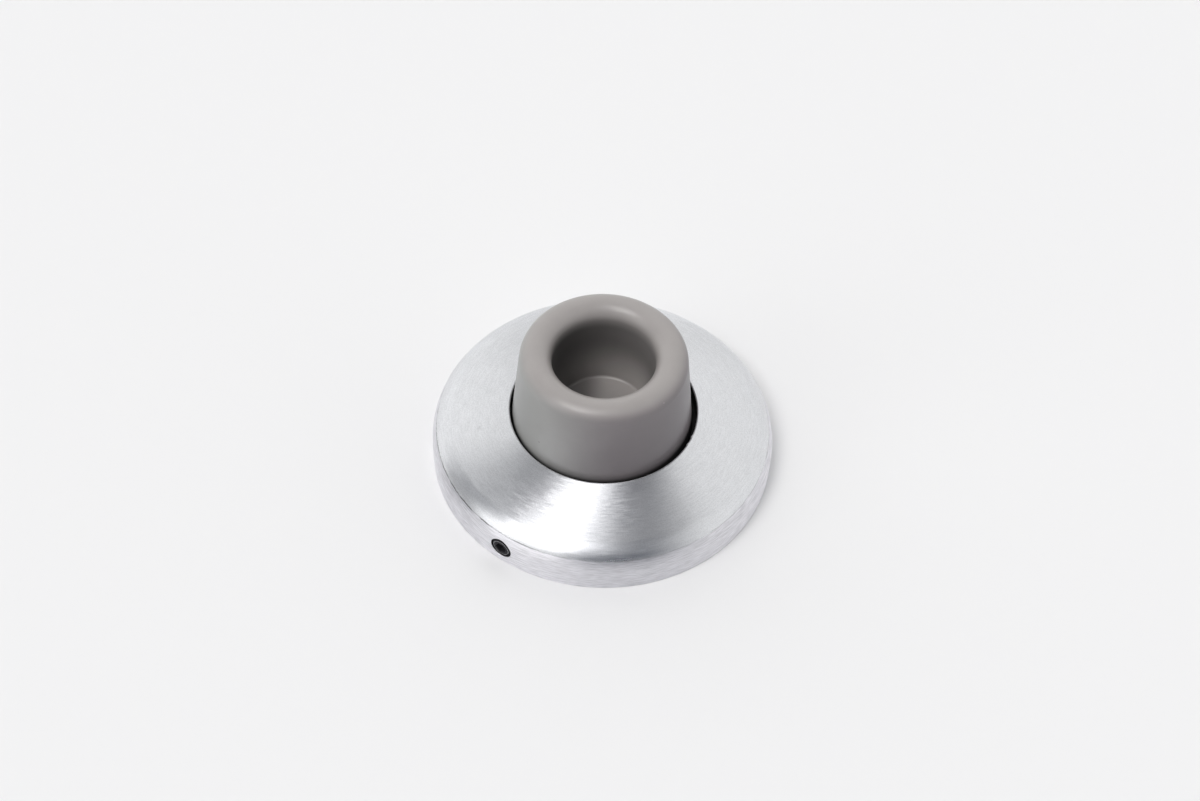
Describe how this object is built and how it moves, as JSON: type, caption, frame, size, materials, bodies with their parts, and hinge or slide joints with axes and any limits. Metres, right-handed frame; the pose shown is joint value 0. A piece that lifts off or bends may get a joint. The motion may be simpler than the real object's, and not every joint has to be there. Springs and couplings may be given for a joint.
{
  "type": "wall door stop",
  "caption": "Wall door stop: round brushed metal rose with a hollow rubber bumper, a hidden wall plate and a side set screw.",
  "frame": {"origin": "centre of the rose's back face, which lies on the wall or on the table", "axes": "+Z straight out of the wall along the rose's axis, +X through the two screw holes of the mounting plate"},
  "size_m": [0.0636, 0.0636, 0.0278],
  "materials": {
    "satin_aluminium": "brushed round the axis, satin",
    "grey_rubber": "smooth moulded rubber with a soft sheen",
    "zinc_plated_steel": "zinc plated, dull",
    "black_steel": "black oxide, lightly oiled"
  },
  "bodies": {
    "root": {"rose": "satin_aluminium", "bumper": "grey_rubber", "mounting_plate": "zinc_plated_steel", "set_screw": "black_steel"}
  },
  "joints": []
}
